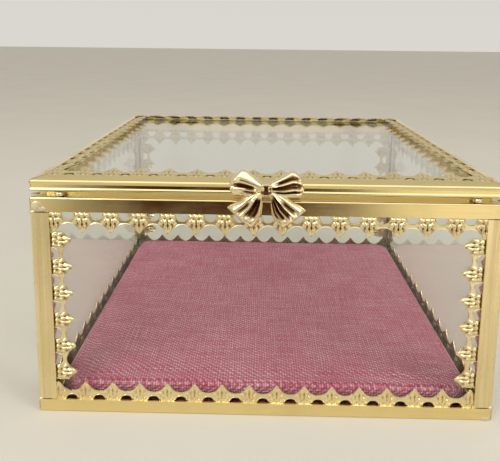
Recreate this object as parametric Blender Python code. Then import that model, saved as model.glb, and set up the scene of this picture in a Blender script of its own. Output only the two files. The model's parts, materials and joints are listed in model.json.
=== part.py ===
"""Square glass jewelry box in a folded brass frame, with a hinged lid and a padded floor.

The frame is +Z up, with the origin under the middle of the box on the surface it stands on. The front,
with the bow pull on it, faces -Y, and the hinges are at +Y. Lengths are in metres.
"""

import math

import bmesh
import bpy
from mathutils import Matrix

MM = 0.001

# Driving sizes of the box
SIDE = 150.0 * MM
BASE_HEIGHT = 73.8 * MM
LID_SEAT = 75.7 * MM
LID_HEIGHT = 4.6 * MM
GAP = 0.3 * MM
MITRE = GAP / math.sqrt(2.0)

# Folded brass channels: depths run inwards from the outer face
SHEET = 0.6 * MM
BEND_RADIUS = 0.5 * MM
CHANNEL_DEPTH = 4.5 * MM
LIP_HEIGHT = 3.0 * MM
HEM_RISE = 0.8 * MM
FLOOR_SHELF = 7.5 * MM
BOTTOM_RAIL_HEIGHT = 4.3 * MM
TOP_RAIL_HEIGHT = 4.7 * MM
POST_WIDTH = 5.9 * MM

# Layers behind the outer skin of a wall
LACE_DEPTH = SHEET + GAP
LACE_THICKNESS = 0.4 * MM
GLASS_DEPTH = LACE_DEPTH + LACE_THICKNESS + GAP
GLASS = 2.0 * MM
FLOOR_BOTTOM = SHEET + GAP

# Moulded channel of the lid
LID_WEB = 0.9 * MM
LID_FLANGE = 3.9 * MM
LID_FLANGE_RISE = 0.6 * MM
LID_LEG = 4.8 * MM
LID_TOP_ROLL = 1.2 * MM
LID_LOW_BEAD = 0.6 * MM
LID_RECESS = 0.3 * MM
LID_BAND_TOP = 1.8 * MM
LID_BAND_BOTTOM = 1.2 * MM

# Stamped lace: heights run from the edge of the rail that holds the strip towards the tips
LACE_PITCH = 9.106 * MM
LACE_TUCK = 1.2 * MM
LACE_TIP = 6.6 * MM
LACE_SHOULDER = 4.4 * MM
LACE_VALLEY = 3.6 * MM
LACE_NOTCH = 2.2 * MM
LACE_SHOULDER_HALF = 2.6 * MM
LACE_FOOT_HALF = 2.85 * MM
LACE_NOTCH_START = 3.3 * MM
LACE_END = 73.2 * MM
LACE_TOP_SHIFT = 0.4 * MM
LACE_LID_SHIFT = -0.1 * MM
POST_LACE_TOP_TIP = 59.5 * MM

# Pad
PAD_HALF = 69.6 * MM
PAD_TOP = 8.6 * MM
PAD_CORNER = 9.0 * MM
PAD_ROLL = 1.5 * MM
COVER = 0.4 * MM
BOARD = 1.5 * MM

# Hinges
HINGE_SPACING = 92.0 * MM
HINGE_LENGTH = 16.0 * MM
KNUCKLE_RADIUS = 1.5 * MM
BORE_RADIUS = 0.95 * MM
PIN_RADIUS = 0.8 * MM
PIN_HEAD_RADIUS = 1.3 * MM
PIN_HEAD = 0.6 * MM
LEAF = 0.5 * MM
LEAF_REACH = 4.6 * MM
MIDDLE_KNUCKLE = 5.4 * MM
AXIS_Y = SIDE / 2 + GAP + KNUCKLE_RADIUS
AXIS_Z = (BASE_HEIGHT + LID_SEAT) / 2

# Solder beads on the front rail that the closed lid rests on
REST_X = 66.0 * MM
REST_RADIUS = 1.5 * MM
REST_BEVEL = 0.6 * MM

# Bow pull: outline of its right half from the middle of the knot, in millimetres
BOW_X = -0.45 * MM
BOW_Z = 77.9 * MM
BOW_BACK = SIDE / 2 + GAP
BOW_THICKNESS = 1.6 * MM
BOW_RADIUS = 0.35 * MM
KNOT_HALF_WIDTH = 1.75 * MM
KNOT_HALF_HEIGHT = 2.0 * MM
KNOT_FRONT = AXIS_Y + KNUCKLE_RADIUS
BOW_HALF = (
    (0.9, 1.9), (3.8, 3.8), (6.9, 5.6), (8.2, 5.8), (9.4, 4.8), (10.9, 1.7), (11.5, -1.1),
    (10.8, -2.1), (7.7, -2.2), (9.2, -4.4), (12.1, -6.1), (12.2, -7.0), (5.0, -12.3),
    (2.8, -10.3), (1.5, -7.8), (1.4, -3.2), (0.6, -1.9),
)

# Fineness of round parts; arcs run between these angles in degrees
ARC_STEPS = 5
PIN_STEPS = 24
REST_STEPS = 16
PAD_ROLL_STEPS = 3
EDGE_STEPS = 2
BEND_ARC = (180, 270)
TOP_ROLL_ARC = (90, 205)
LOW_BEAD_ARC = (140, 270)
TOUCH = GAP / 10
SHARP = math.radians(35.0)
SIDES = (("front", 0), ("right", 90), ("back", 180), ("left", 270))

# Colour, metallic, roughness and transmission of each finish
FINISHES = {
    "brass": ((0.80, 0.64, 0.34), 1.0, 0.28, 0.0),
    "clear_glass": ((0.93, 0.96, 0.95), 0.0, 0.02, 1.0),
    "card": ((0.36, 0.30, 0.24), 0.0, 0.9, 0.0),
    "foam": ((0.85, 0.83, 0.78), 0.0, 0.95, 0.0),
    "pink_linen": ((0.55, 0.24, 0.28), 0.0, 0.9, 0.0),
}


def material(name, colour, metallic, roughness, transmission):
    """Principled material of one finish."""
    finish = bpy.data.materials.new(name)
    finish.use_nodes = True
    shader = finish.node_tree.nodes["Principled BSDF"]
    shader.inputs["Base Color"].default_value = (*colour, 1.0)
    shader.inputs["Metallic"].default_value = metallic
    shader.inputs["Roughness"].default_value = roughness
    shader.inputs["Transmission Weight"].default_value = transmission
    return finish


def finished_mesh(name, bm, finish):
    """Mesh made from bm, faces out, round parts smooth."""
    bmesh.ops.recalc_face_normals(bm, faces=bm.faces)
    mesh = bpy.data.meshes.new(name)
    bm.to_mesh(mesh)
    bm.free()
    mesh.shade_smooth()
    mesh.set_sharp_from_angle(angle=SHARP)
    if finish:
        mesh.materials.append(finish)
    return mesh


def add_object(name, mesh, parent=None, turn=0.0):
    """Object of the mesh, turned about the middle of the box, under a parent."""
    piece = bpy.data.objects.new(name, mesh)
    bpy.context.scene.collection.objects.link(piece)
    if parent:
        piece.parent = parent
        piece.matrix_parent_inverse = Matrix.Translation(parent.location).inverted()
    piece.rotation_euler.z = math.radians(turn)
    return piece


def add_cutter(name, mesh):
    """Hidden object that only shapes another."""
    cutter = add_object(name, mesh)
    cutter.hide_render = True
    cutter.display_type = "WIRE"
    return cutter


def boolean(piece, cutter, operation):
    """Exact Boolean modifier."""
    step = piece.modifiers.new(operation.title(), "BOOLEAN")
    step.operation = operation
    step.object = cutter


def arc(centre, radius, start, end):
    """Points on an arc, angles in degrees."""
    angles = [math.radians(start + (end - start) * i / ARC_STEPS) for i in range(ARC_STEPS + 1)]
    return [(centre[0] + radius * math.cos(a), centre[1] + radius * math.sin(a)) for a in angles]


def prism(rings):
    """Closed bmesh body between two matching rings of points."""
    bm = bmesh.new()
    first, last = [[bm.verts.new(point) for point in ring] for ring in rings]
    bm.faces.new(first)
    bm.faces.new(last)
    for i in range(len(first)):
        j = (i + 1) % len(first)
        bm.faces.new((first[i], first[j], last[j], last[i]))
    return bm


def mitred_bar(name, outline, finish):
    """Bar along the front edge with ends cut at 45 degrees; outline has (depth, height) points."""
    rings = []
    for sign in (-1, 1):
        rings.append([(sign * (SIDE / 2 - depth - MITRE), depth - SIDE / 2, height)
                      for depth, height in outline])
    return finished_mesh(name, prism(rings), finish)


def block(name, low, high, finish):
    """Plain box between two corners."""
    xs, ys, zs = zip(low, high)
    loop = ((xs[0], ys[0]), (xs[1], ys[0]), (xs[1], ys[1]), (xs[0], ys[1]))
    return finished_mesh(name, prism([[(x, y, z) for x, y in loop] for z in zs]), finish)


def rounded_plate(name, half, bottom, top, corner, roll, finish):
    """Square plate with round corners; its top edge can be rolled over."""
    loop = []
    for turn, (sx, sy) in enumerate(((1, 1), (-1, 1), (-1, -1), (1, -1))):
        centre = (sx * (half - corner), sy * (half - corner))
        loop += arc(centre, corner, 90 * turn, 90 * turn + 90)
    bm = prism([[(x, y, z) for x, y in loop] for z in (bottom, top)])
    if roll:
        round_top(bm, roll, PAD_ROLL_STEPS)
    return finished_mesh(name, bm, finish)


def round_top(bm, radius, segments):
    """Round the edges around the top face."""
    top = max(vert.co.z for vert in bm.verts)
    rim = [edge for edge in bm.edges if all(vert.co.z == top for vert in edge.verts)]
    bmesh.ops.bevel(bm, geom=rim, offset=radius, segments=segments, affect="EDGES", profile=0.5)


def x_cylinder(name, radius, start, end, finish):
    """Cylinder along X on the hinge axis."""
    angles = [2 * math.pi * i / PIN_STEPS for i in range(PIN_STEPS)]
    rings = [[(x, AXIS_Y + radius * math.cos(a), AXIS_Z + radius * math.sin(a)) for a in angles]
             for x in (start, end)]
    return finished_mesh(name, prism(rings), finish)


# ---------------------------------------------------------------- frame of the base

def channel(height, leg):
    """Folded channel: outer flange of this height, a leg of this width, and a lip for the glass."""
    lip = CHANNEL_DEPTH - SHEET
    outline = [(leg, 0.0), (leg, SHEET)]
    if leg > CHANNEL_DEPTH:
        outline.append((CHANNEL_DEPTH, SHEET))
    outline += [(CHANNEL_DEPTH, LIP_HEIGHT), (lip, LIP_HEIGHT), (lip, SHEET), (SHEET, SHEET)]
    outline += [(SHEET, height), (0.0, height)]
    return outline + arc((BEND_RADIUS, BEND_RADIUS), BEND_RADIUS, *BEND_ARC)


def top_channel():
    """The same channel upside down, with its leg along the top of the base and a hem inside."""
    lip = CHANNEL_DEPTH - SHEET
    hem = [(lip, 0.0), (lip, -HEM_RISE), (CHANNEL_DEPTH, -HEM_RISE)]
    outline = channel(TOP_RAIL_HEIGHT, CHANNEL_DEPTH)[2:] + hem
    return [(depth, BASE_HEIGHT - drop) for depth, drop in outline]


def make_base_frame(base, brass):
    """Four rails at the bottom, four at the top and a folded angle at each corner."""
    low = mitred_bar("bottom_rail", channel(BOTTOM_RAIL_HEIGHT, FLOOR_SHELF), brass)
    high = mitred_bar("top_rail", top_channel(), brass)
    for side, turn in SIDES:
        add_object(f"bottom_rail_{side}", low, base, turn)
        add_object(f"top_rail_{side}", high, base, turn)
    edge = SIDE / 2
    section = [(POST_WIDTH, 0.0), (POST_WIDTH, SHEET), (SHEET, SHEET), (SHEET, POST_WIDTH)]
    section += [(0.0, POST_WIDTH)] + arc((BEND_RADIUS, BEND_RADIUS), BEND_RADIUS, *BEND_ARC)
    ends = (BOTTOM_RAIL_HEIGHT + GAP, BASE_HEIGHT - TOP_RAIL_HEIGHT - GAP)
    rings = [[(x - edge, y - edge, z) for x, y in section] for z in ends]
    post = finished_mesh("corner_post", prism(rings), brass)
    for number, (_, turn) in enumerate(SIDES, start=1):
        add_object(f"corner_post_{number}", post, base, turn)


def make_lid_rests(base, brass):
    """Two beads near the front corners that keep the lid level with its hinges."""
    centre_y = (CHANNEL_DEPTH - SHEET) / 2 - SIDE / 2
    low, high = BASE_HEIGHT + GAP, LID_SEAT - GAP
    for name, centre_x in (("left", -REST_X), ("right", REST_X)):
        angles = [2 * math.pi * i / REST_STEPS for i in range(REST_STEPS)]
        bm = prism([[(centre_x + REST_RADIUS * math.cos(a), centre_y + REST_RADIUS * math.sin(a), z)
                     for a in angles] for z in (low, high)])
        round_top(bm, REST_BEVEL, EDGE_STEPS)
        add_object(f"lid_rest_{name}", finished_mesh(f"lid_rest_{name}", bm, brass), base)


def make_base_glass(base, glass):
    """Long panes at the front and back, short ones between them, and the floor."""
    outer = SIDE / 2 - GLASS_DEPTH
    inner = outer - GLASS
    low = FLOOR_BOTTOM
    high = BASE_HEIGHT - SHEET - GAP
    long_pane = block("long_pane", (-outer, -outer, low), (outer, -inner, high), glass)
    short = inner - GAP
    short_pane = block("short_pane", (-short, -outer, low), (short, -inner, high), glass)
    for side, turn in SIDES:
        pane = long_pane if turn % 180 == 0 else short_pane
        add_object(f"wall_glass_{side}", pane, base, turn)
    half = SIDE / 2 - CHANNEL_DEPTH - GAP
    floor = block("floor_glass", (-half, -half, low), (half, half, low + GLASS), glass)
    add_object("floor_glass", floor, base)


# ---------------------------------------------------------------- lace

def lace_chains(first_tip, count):
    """Outer and inner edge of a strip, as (place along the strip, height) points."""
    outer, inner = [], []
    half = LACE_PITCH / 2
    for i in range(count):
        tip = first_tip + i * LACE_PITCH
        outer += [(tip - half, LACE_VALLEY), (tip - LACE_SHOULDER_HALF, LACE_SHOULDER)]
        outer += [(tip, LACE_TIP), (tip + LACE_SHOULDER_HALF, LACE_SHOULDER)]
        inner += [(tip - LACE_NOTCH_START, LACE_NOTCH), (tip - LACE_FOOT_HALF, -LACE_TUCK)]
        inner += [(tip + LACE_FOOT_HALF, -LACE_TUCK), (tip + LACE_NOTCH_START, LACE_NOTCH)]
    return outer, inner


def clip(chain, start, end):
    """Part of a chain between start and end, with a point made at each cut."""
    kept = []
    for (x0, h0), (x1, h1) in zip(chain, chain[1:]):
        for cut in (start, end):
            if x0 < cut < x1:
                kept.append((cut, h0 + (h1 - h0) * (cut - x0) / (x1 - x0)))
        if start < x1 < end:
            kept.append((x1, h1))
    return kept


def lace_outline(first_tip, start, end):
    """Closed outline of a strip cut at start and end; one tip is at first_tip."""
    before = math.ceil((first_tip - start) / LACE_PITCH) + 1
    count = before + math.ceil((end - first_tip) / LACE_PITCH) + 2
    outer, inner = lace_chains(first_tip - before * LACE_PITCH, count)
    return clip(outer, start, end) + clip(inner, start, end)[::-1]


def lace_mesh(name, outline, place, finish):
    """Flat strip; place turns a point (along, height, layer) into a position."""
    rings = [[place(along, height, layer) for along, height in outline]
             for layer in (0.0, LACE_THICKNESS)]
    return finished_mesh(name, prism(rings), finish)


def make_base_lace(base, brass):
    """Strips along the four edges of each wall, between its glass and the outer skin."""
    layer = LACE_DEPTH - SIDE / 2
    low_edge = BOTTOM_RAIL_HEIGHT
    high_edge = BASE_HEIGHT - TOP_RAIL_HEIGHT
    post_edge = POST_WIDTH - SIDE / 2
    centred = LACE_PITCH / 2
    strips = {
        "bottom": (lace_outline(centred, -LACE_END, LACE_END),
                   lambda along, height, t: (along, layer + t, low_edge + height)),
        "top": (lace_outline(centred + LACE_TOP_SHIFT, -LACE_END, LACE_END),
                lambda along, height, t: (along, layer + t, high_edge - height)),
    }
    start = low_edge + LACE_TIP + GAP
    end = high_edge - LACE_TIP - GAP
    upright = lace_outline(POST_LACE_TOP_TIP, start, end)
    strips["post_a"] = (upright, lambda along, height, t: (post_edge + height, layer + t, along))
    strips["post_b"] = (upright, lambda along, height, t: (-post_edge - height, layer + t, along))
    for place_name, (outline, place) in strips.items():
        mesh = lace_mesh(f"lace_{place_name}", outline, place, brass)
        for side, turn in SIDES:
            add_object(f"lace_{side}_{place_name}", mesh, base, turn)


# ---------------------------------------------------------------- pad

def make_pad(base, board, foam, linen):
    """Card and thin foam under a linen cover that is open below."""
    bottom = FLOOR_BOTTOM + GLASS + GAP
    cover = add_object("pad_cover", rounded_plate(
        "pad_cover", PAD_HALF, bottom, PAD_TOP, PAD_CORNER, PAD_ROLL, linen), base)
    hollow = add_cutter("pad_hollow", rounded_plate(
        "pad_hollow", PAD_HALF - COVER, bottom - BOARD, PAD_TOP - COVER,
        PAD_CORNER - COVER, PAD_ROLL - COVER, None))
    boolean(cover, hollow, "DIFFERENCE")
    half = PAD_HALF - COVER - GAP
    corner = PAD_CORNER - COVER - GAP
    card = rounded_plate("pad_board", half, bottom, bottom + BOARD, corner, 0.0, board)
    add_object("pad_board", card, base)
    filling = rounded_plate("pad_foam", half, bottom + BOARD + GAP, PAD_TOP - COVER - GAP,
                            corner, PAD_ROLL - COVER, foam)
    add_object("pad_foam", filling, base)


# ---------------------------------------------------------------- lid

def lid_section():
    """Moulded channel: flange sloping up inwards, top roll, recessed band and low bead."""
    low, high = LID_SEAT, LID_SEAT + LID_HEIGHT
    roll = high - LID_FLANGE_RISE
    outline = [(LID_LEG, low), (LID_LEG, low + SHEET)]
    outline += [(LID_WEB, low + SHEET), (LID_WEB, roll - SHEET)]
    outline += [(LID_FLANGE, high - SHEET), (LID_FLANGE, high)]
    outline += arc((LID_TOP_ROLL, roll - LID_TOP_ROLL), LID_TOP_ROLL, *TOP_ROLL_ARC)
    outline.append((LID_RECESS, roll - LID_BAND_TOP))
    outline.append((LID_RECESS, low + LID_BAND_BOTTOM))
    outline += arc((LID_LOW_BEAD, low + LID_LOW_BEAD), LID_LOW_BEAD, *LOW_BEAD_ARC)
    return outline


def make_lid(lid, brass, glass):
    """Four moulded rails, the pane they hold and the lace on top of it."""
    rail = mitred_bar("lid_rail", lid_section(), brass)
    for side, turn in SIDES:
        add_object(f"lid_rail_{side}", rail, lid, turn)
    half = SIDE / 2 - LID_WEB - GAP
    low = LID_SEAT + SHEET + GAP
    pane = block("lid_glass", (-half, -half, low), (half, half, low + GLASS), glass)
    add_object("lid_glass", pane, lid)
    make_lid_lace(lid, brass, low + GLASS + GAP)


def make_lid_lace(lid, brass, height):
    """Long strips at the front and back, shorter ones between them."""
    edge = LID_FLANGE - SIDE / 2
    long_end = -edge + LACE_TUCK
    short_end = -edge - LACE_TIP - GAP
    for name, end, shift in (("long", long_end, LACE_LID_SHIFT), ("short", short_end, 0.0)):
        outline = lace_outline(LACE_PITCH / 2 + shift, -end, end)
        mesh = lace_mesh(f"lid_lace_{name}", outline,
                         lambda along, rise, layer: (along, edge + rise, height + layer), brass)
        for side, turn in SIDES:
            if (turn % 180 == 0) == (name == "long"):
                add_object(f"lace_lid_{side}", mesh, lid, turn)


def make_bow(lid, brass):
    """Cast bow pull: a flat outline with softened edges and a raised knot."""
    right = [(BOW_X + x * MM, BOW_Z + z * MM) for x, z in BOW_HALF]
    left = [(2 * BOW_X - x, z) for x, z in reversed(right)]
    front = BOW_BACK + BOW_THICKNESS
    bm = prism([[(x, -y, z) for x, z in right + left] for y in (BOW_BACK, front)])
    rim = [edge for edge in bm.edges
           if all(abs(vert.co.y + front) < TOUCH for vert in edge.verts)]
    bmesh.ops.bevel(bm, geom=rim, offset=BOW_RADIUS, segments=EDGE_STEPS, affect="EDGES",
                    profile=0.5)
    bow = add_object("bow_pull", finished_mesh("bow_pull", bm, brass), lid)
    low = (BOW_X - KNOT_HALF_WIDTH, -KNOT_FRONT, BOW_Z - KNOT_HALF_HEIGHT)
    high = (BOW_X + KNOT_HALF_WIDTH, -BOW_BACK - GAP, BOW_Z + KNOT_HALF_HEIGHT)
    knot = add_cutter("knot", block("knot", low, high, None))
    soften = knot.modifiers.new("Soften", "BEVEL")
    soften.width = 2 * BOW_RADIUS
    soften.segments = EDGE_STEPS
    boolean(bow, knot, "UNION")


# ---------------------------------------------------------------- hinges

def make_leaf(name, parent, brass, centre, spans, low, high, tabs):
    """Leaf plate with a tab and a bored knuckle over each span."""
    face = SIDE / 2 + GAP
    ends = (centre - HINGE_LENGTH / 2, centre + HINGE_LENGTH / 2)
    plate = block(name, (ends[0], face, low), (ends[1], face + LEAF, high), brass)
    leaf = add_object(name, plate, parent)
    for number, (start, end) in enumerate(spans):
        tab = block("tab", (centre + start, face, tabs[0]),
                    (centre + end, face + LEAF, tabs[1]), None)
        boolean(leaf, add_cutter(f"{name}_tab_{number}", tab), "UNION")
        knuckle = x_cylinder("knuckle", KNUCKLE_RADIUS, centre + start, centre + end, None)
        boolean(leaf, add_cutter(f"{name}_knuckle_{number}", knuckle), "UNION")
    bore = x_cylinder("bore", BORE_RADIUS, ends[0] - GAP, ends[1] + GAP, None)
    boolean(leaf, add_cutter(f"{name}_bore", bore), "DIFFERENCE")


def make_pin(name, parent, brass, centre):
    """Pin with a round head at each end."""
    reach = HINGE_LENGTH / 2 + GAP
    rod = x_cylinder(name, PIN_RADIUS, centre - reach, centre + reach, brass)
    pin = add_object(name, rod, parent)
    for sign in (-1, 1):
        near = centre + sign * reach
        ends = sorted((near, near + sign * PIN_HEAD))
        head = x_cylinder("head", PIN_HEAD_RADIUS, *ends, None)
        boolean(pin, add_cutter(f"{name}_head_{sign}", head), "UNION")


def make_hinges(base, lid, brass):
    """Two butt hinges: outer knuckles on the base, the middle one on the lid."""
    half = HINGE_LENGTH / 2
    middle = MIDDLE_KNUCKLE / 2
    clear = KNUCKLE_RADIUS + GAP
    for name, centre in (("left", -HINGE_SPACING / 2), ("right", HINGE_SPACING / 2)):
        outer = ((-half, -middle - GAP), (middle + GAP, half))
        make_leaf(f"hinge_base_leaf_{name}", base, brass, centre, outer,
                  AXIS_Z - LEAF_REACH, AXIS_Z - clear, (AXIS_Z - clear - GAP, AXIS_Z))
        make_leaf(f"hinge_lid_leaf_{name}", lid, brass, centre, ((-middle, middle),),
                  AXIS_Z + clear, AXIS_Z + LEAF_REACH, (AXIS_Z, AXIS_Z + clear + GAP))
        make_pin(f"hinge_pin_{name}", base, brass, centre)


def empty(name, location):
    """Parent for the pieces of one body."""
    holder = bpy.data.objects.new(name, None)
    holder.location = location
    bpy.context.scene.collection.objects.link(holder)
    return holder


def main():
    """Clear the scene and build the box."""
    for old in list(bpy.data.objects):
        bpy.data.objects.remove(old)
    brass, glass, card, foam, linen = (material(name, *look) for name, look in FINISHES.items())
    base = empty("base", (0.0, 0.0, 0.0))
    lid = empty("lid", (0.0, AXIS_Y, AXIS_Z))
    make_base_frame(base, brass)
    make_lid_rests(base, brass)
    make_base_glass(base, glass)
    make_base_lace(base, brass)
    make_pad(base, card, foam, linen)
    make_lid(lid, brass, glass)
    make_bow(lid, brass)
    make_hinges(base, lid, brass)


main()
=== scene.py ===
"""Looks of a brass and glass jewelry box with stamped lace edging, a cast bow and a linen pad.

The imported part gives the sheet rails, posts, panes and hinges. This script adds the finishes,
the embossed lace, the sculpted bow, the solder and the stuffed pad, then lights the box.
All lengths are metres in the row frame: +Z up, the front of the box faces -Y.
"""

import json
import logging
import math
from collections.abc import Callable
from dataclasses import dataclass, field
from enum import Enum
from typing import Any, Union

import bmesh
import bpy
import numpy as np
from mathutils import Matrix, Vector

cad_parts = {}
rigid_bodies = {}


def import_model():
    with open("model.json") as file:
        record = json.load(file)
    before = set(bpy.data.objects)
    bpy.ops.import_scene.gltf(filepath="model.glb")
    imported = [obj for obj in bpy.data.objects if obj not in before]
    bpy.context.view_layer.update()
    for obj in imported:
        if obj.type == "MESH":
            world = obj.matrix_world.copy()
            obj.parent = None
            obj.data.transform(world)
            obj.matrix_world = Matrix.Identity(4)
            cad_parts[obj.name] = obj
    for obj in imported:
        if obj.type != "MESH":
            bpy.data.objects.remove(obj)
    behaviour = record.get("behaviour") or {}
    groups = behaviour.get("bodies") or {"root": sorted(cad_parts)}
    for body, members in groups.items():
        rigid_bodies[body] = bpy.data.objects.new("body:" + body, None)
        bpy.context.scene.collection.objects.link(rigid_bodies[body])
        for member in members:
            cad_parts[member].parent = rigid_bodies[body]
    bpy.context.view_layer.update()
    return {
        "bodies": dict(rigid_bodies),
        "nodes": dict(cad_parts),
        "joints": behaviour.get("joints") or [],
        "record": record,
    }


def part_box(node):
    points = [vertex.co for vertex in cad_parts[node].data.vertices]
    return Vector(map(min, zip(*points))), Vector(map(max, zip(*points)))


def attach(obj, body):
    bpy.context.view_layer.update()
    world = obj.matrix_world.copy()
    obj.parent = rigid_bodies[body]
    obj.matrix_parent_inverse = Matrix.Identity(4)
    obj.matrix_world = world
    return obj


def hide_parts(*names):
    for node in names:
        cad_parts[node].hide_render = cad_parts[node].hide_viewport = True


log = logging.getLogger("jewelry_box")

MM = 0.001
SHARP_ANGLE = math.radians(60)

Socket = bpy.types.NodeSocket
Input = Union[Socket, float, tuple]
Array = np.ndarray
Mesh = bpy.types.Object
Faces = list[tuple[int, ...]]
Point = tuple[float, float, float]
Place = Callable[[float, float, float], Vector]


class Side(Enum):
    """A wall of the box and its turn about Z, in degrees, from the front wall."""

    FRONT = 0
    RIGHT = 90
    BACK = 180
    LEFT = 270

    @property
    def label(self) -> str:
        """Name of the side as the nodes spell it."""
        return self.name.lower()

    @property
    def turn(self) -> Matrix:
        """Rotation matrix that carries the front wall to this one."""
        return Matrix.Rotation(math.radians(self.value), 3, "Z")


class Body(Enum):
    """The two rigid bodies of the box."""

    BASE = "base"
    LID = "lid"


class Slot(Enum):
    """The record's material slots."""

    SHEET = "brass_sheet"
    LACE = "brass_lace"
    CAST = "brass_cast"
    GLASS = "clear_glass"
    CARD = "card"
    FOAM = "foam"
    LINEN = "pink_linen"


# ---------------------------------------------------------------- node helpers

class Graph:
    """Short way to add and join nodes in a material or a group."""

    def __init__(self, tree: bpy.types.NodeTree) -> None:
        """Keeps the node tree that the calls below add to."""
        self.tree = tree

    def add(self, kind: str, inputs: dict | None = None, **settings: Any) -> bpy.types.Node:
        """Adds a node.

        Args:
            kind: the node's type name, without "ShaderNode".
            inputs: values or output sockets by input name or index.
            settings: the node's own properties.

        Returns:
            The node.
        """
        node = self.tree.nodes.new(kind if kind.startswith("Node") else "ShaderNode" + kind)
        for key, value in settings.items():
            setattr(node, key, value)
        for key, value in (inputs or {}).items():
            self.feed(node.inputs[key], value)
        return node

    def feed(self, socket: Socket, value: Input) -> None:
        """Links an output socket, or sets a constant.

        Args:
            socket: the input socket.
            value: an output socket, or the constant.
        """
        if isinstance(value, bpy.types.NodeSocket):
            self.tree.links.new(value, socket)
        else:
            socket.default_value = value

    def math(self, operation: str, a: Input, b: Input = 0.0, c: Input = 0.0) -> Socket:
        """Adds a Math node.

        Args:
            operation: the node's operation.
            a: first value.
            b: second value, where the operation has one.
            c: third value, where the operation has one.

        Returns:
            The result socket.
        """
        node = self.add("Math", operation=operation)
        for socket, value in zip(node.inputs, (a, b, c)):
            self.feed(socket, value)
        return node.outputs[0]

    def mix(self, factor: Input, a: Input, b: Input) -> Socket:
        """Colour that goes from a to b as the factor goes from 0 to 1."""
        return self.add("MixRGB", {0: factor, 1: a, 2: b}).outputs[0]

    def span(self, value: Input, low: float, high: float, to_low: float = 0.0,
             to_high: float = 1.0) -> Socket:
        """Value remapped from low..high to to_low..to_high, clamped."""
        node = self.add("MapRange", {0: value, 1: low, 2: high, 3: to_low, 4: to_high})
        return node.outputs[0]

    def noise(self, vector: Socket, scale: Input, detail: float, roughness: float) -> Socket:
        """Adds a noise texture.

        Args:
            vector: the place.
            scale: how fine the noise is.
            detail: how many finer layers it has.
            roughness: how strong they are.

        Returns:
            Its grey value.
        """
        node = self.add("TexNoise", {"Vector": vector, "Scale": scale, "Detail": detail,
                                     "Roughness": roughness})
        return node.outputs[0]


def new_group(name: str, inputs: list, outputs: list) -> tuple:
    """Makes a shader node group.

    Args:
        name: group name.
        inputs: (name, socket type, default) for each input.
        outputs: (name, socket type) for each output.

    Returns:
        The group, its graph, its input node and its output node.
    """
    group = bpy.data.node_groups.new(name, "ShaderNodeTree")
    for label, kind, default in inputs:
        socket = group.interface.new_socket(name=label, in_out="INPUT", socket_type=kind)
        socket.default_value = default
    for label, kind in outputs:
        group.interface.new_socket(name=label, in_out="OUTPUT", socket_type=kind)
    graph = Graph(group)
    return group, graph, graph.add("NodeGroupInput"), graph.add("NodeGroupOutput")


def metal_wear_group() -> bpy.types.NodeTree:
    """Tarnish clouds, smudges and fine scratches of handled brass.

    Returns:
        The group.
    """
    speck_ratio, streak_rough, mark_rough = 14.0, 0.3, 0.25
    streak_height, speck_height = 0.5, 0.35
    group, g, given, out = new_group(
        "metal_wear",
        [("Clean", "NodeSocketColor", (0.8, 0.6, 0.3, 1)),
         ("Tarnish", "NodeSocketColor", (0.4, 0.25, 0.1, 1)),
         ("Amount", "NodeSocketFloat", 0.3), ("Roughness", "NodeSocketFloat", 0.2),
         ("Spread", "NodeSocketFloat", 0.1), ("Scale", "NodeSocketFloat", 60.0),
         ("Grain", "NodeSocketVector", (40.0, 40.0, 900.0)),
         ("Brush", "NodeSocketFloat", 0.1)],
        [("Color", "NodeSocketColor"), ("Roughness", "NodeSocketFloat"),
         ("Height", "NodeSocketFloat")])
    place = g.add("TexCoord").outputs["Object"]
    cloud = g.noise(place, given.outputs["Scale"], 4.0, 0.6)
    fine_scale = g.math("MULTIPLY", given.outputs["Scale"], speck_ratio)
    speck = g.noise(place, fine_scale, 3.0, 0.65)
    stretched = g.add("Mapping", {0: place, 3: given.outputs["Grain"]}).outputs[0]
    streak = g.noise(stretched, 1.0, 4.0, 0.6)
    stain = g.math("MULTIPLY", g.span(cloud, 0.48, 0.72), given.outputs["Amount"])
    dots = g.math("MULTIPLY", g.span(speck, 0.66, 0.74), given.outputs["Amount"])
    marks = g.math("MAXIMUM", stain, dots)
    color = g.mix(marks, given.outputs["Clean"], given.outputs["Tarnish"])
    lines = g.math("MULTIPLY", g.span(streak, 0.42, 0.70), given.outputs["Brush"])
    color = g.mix(lines, color, given.outputs["Tarnish"])
    smudge = g.math("MULTIPLY", g.span(cloud, 0.35, 0.65), given.outputs["Spread"])
    smudge = g.math("ADD", smudge, g.math("MULTIPLY", lines, streak_rough))
    rough = g.math("ADD", g.math("ADD", given.outputs["Roughness"], smudge),
                   g.math("MULTIPLY", marks, mark_rough))
    height = g.math("ADD", g.math("MULTIPLY", streak, streak_height),
                    g.math("MULTIPLY", speck, speck_height))
    for label, value in (("Color", color), ("Roughness", rough), ("Height", height)):
        g.feed(out.inputs[label], value)
    return group


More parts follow.
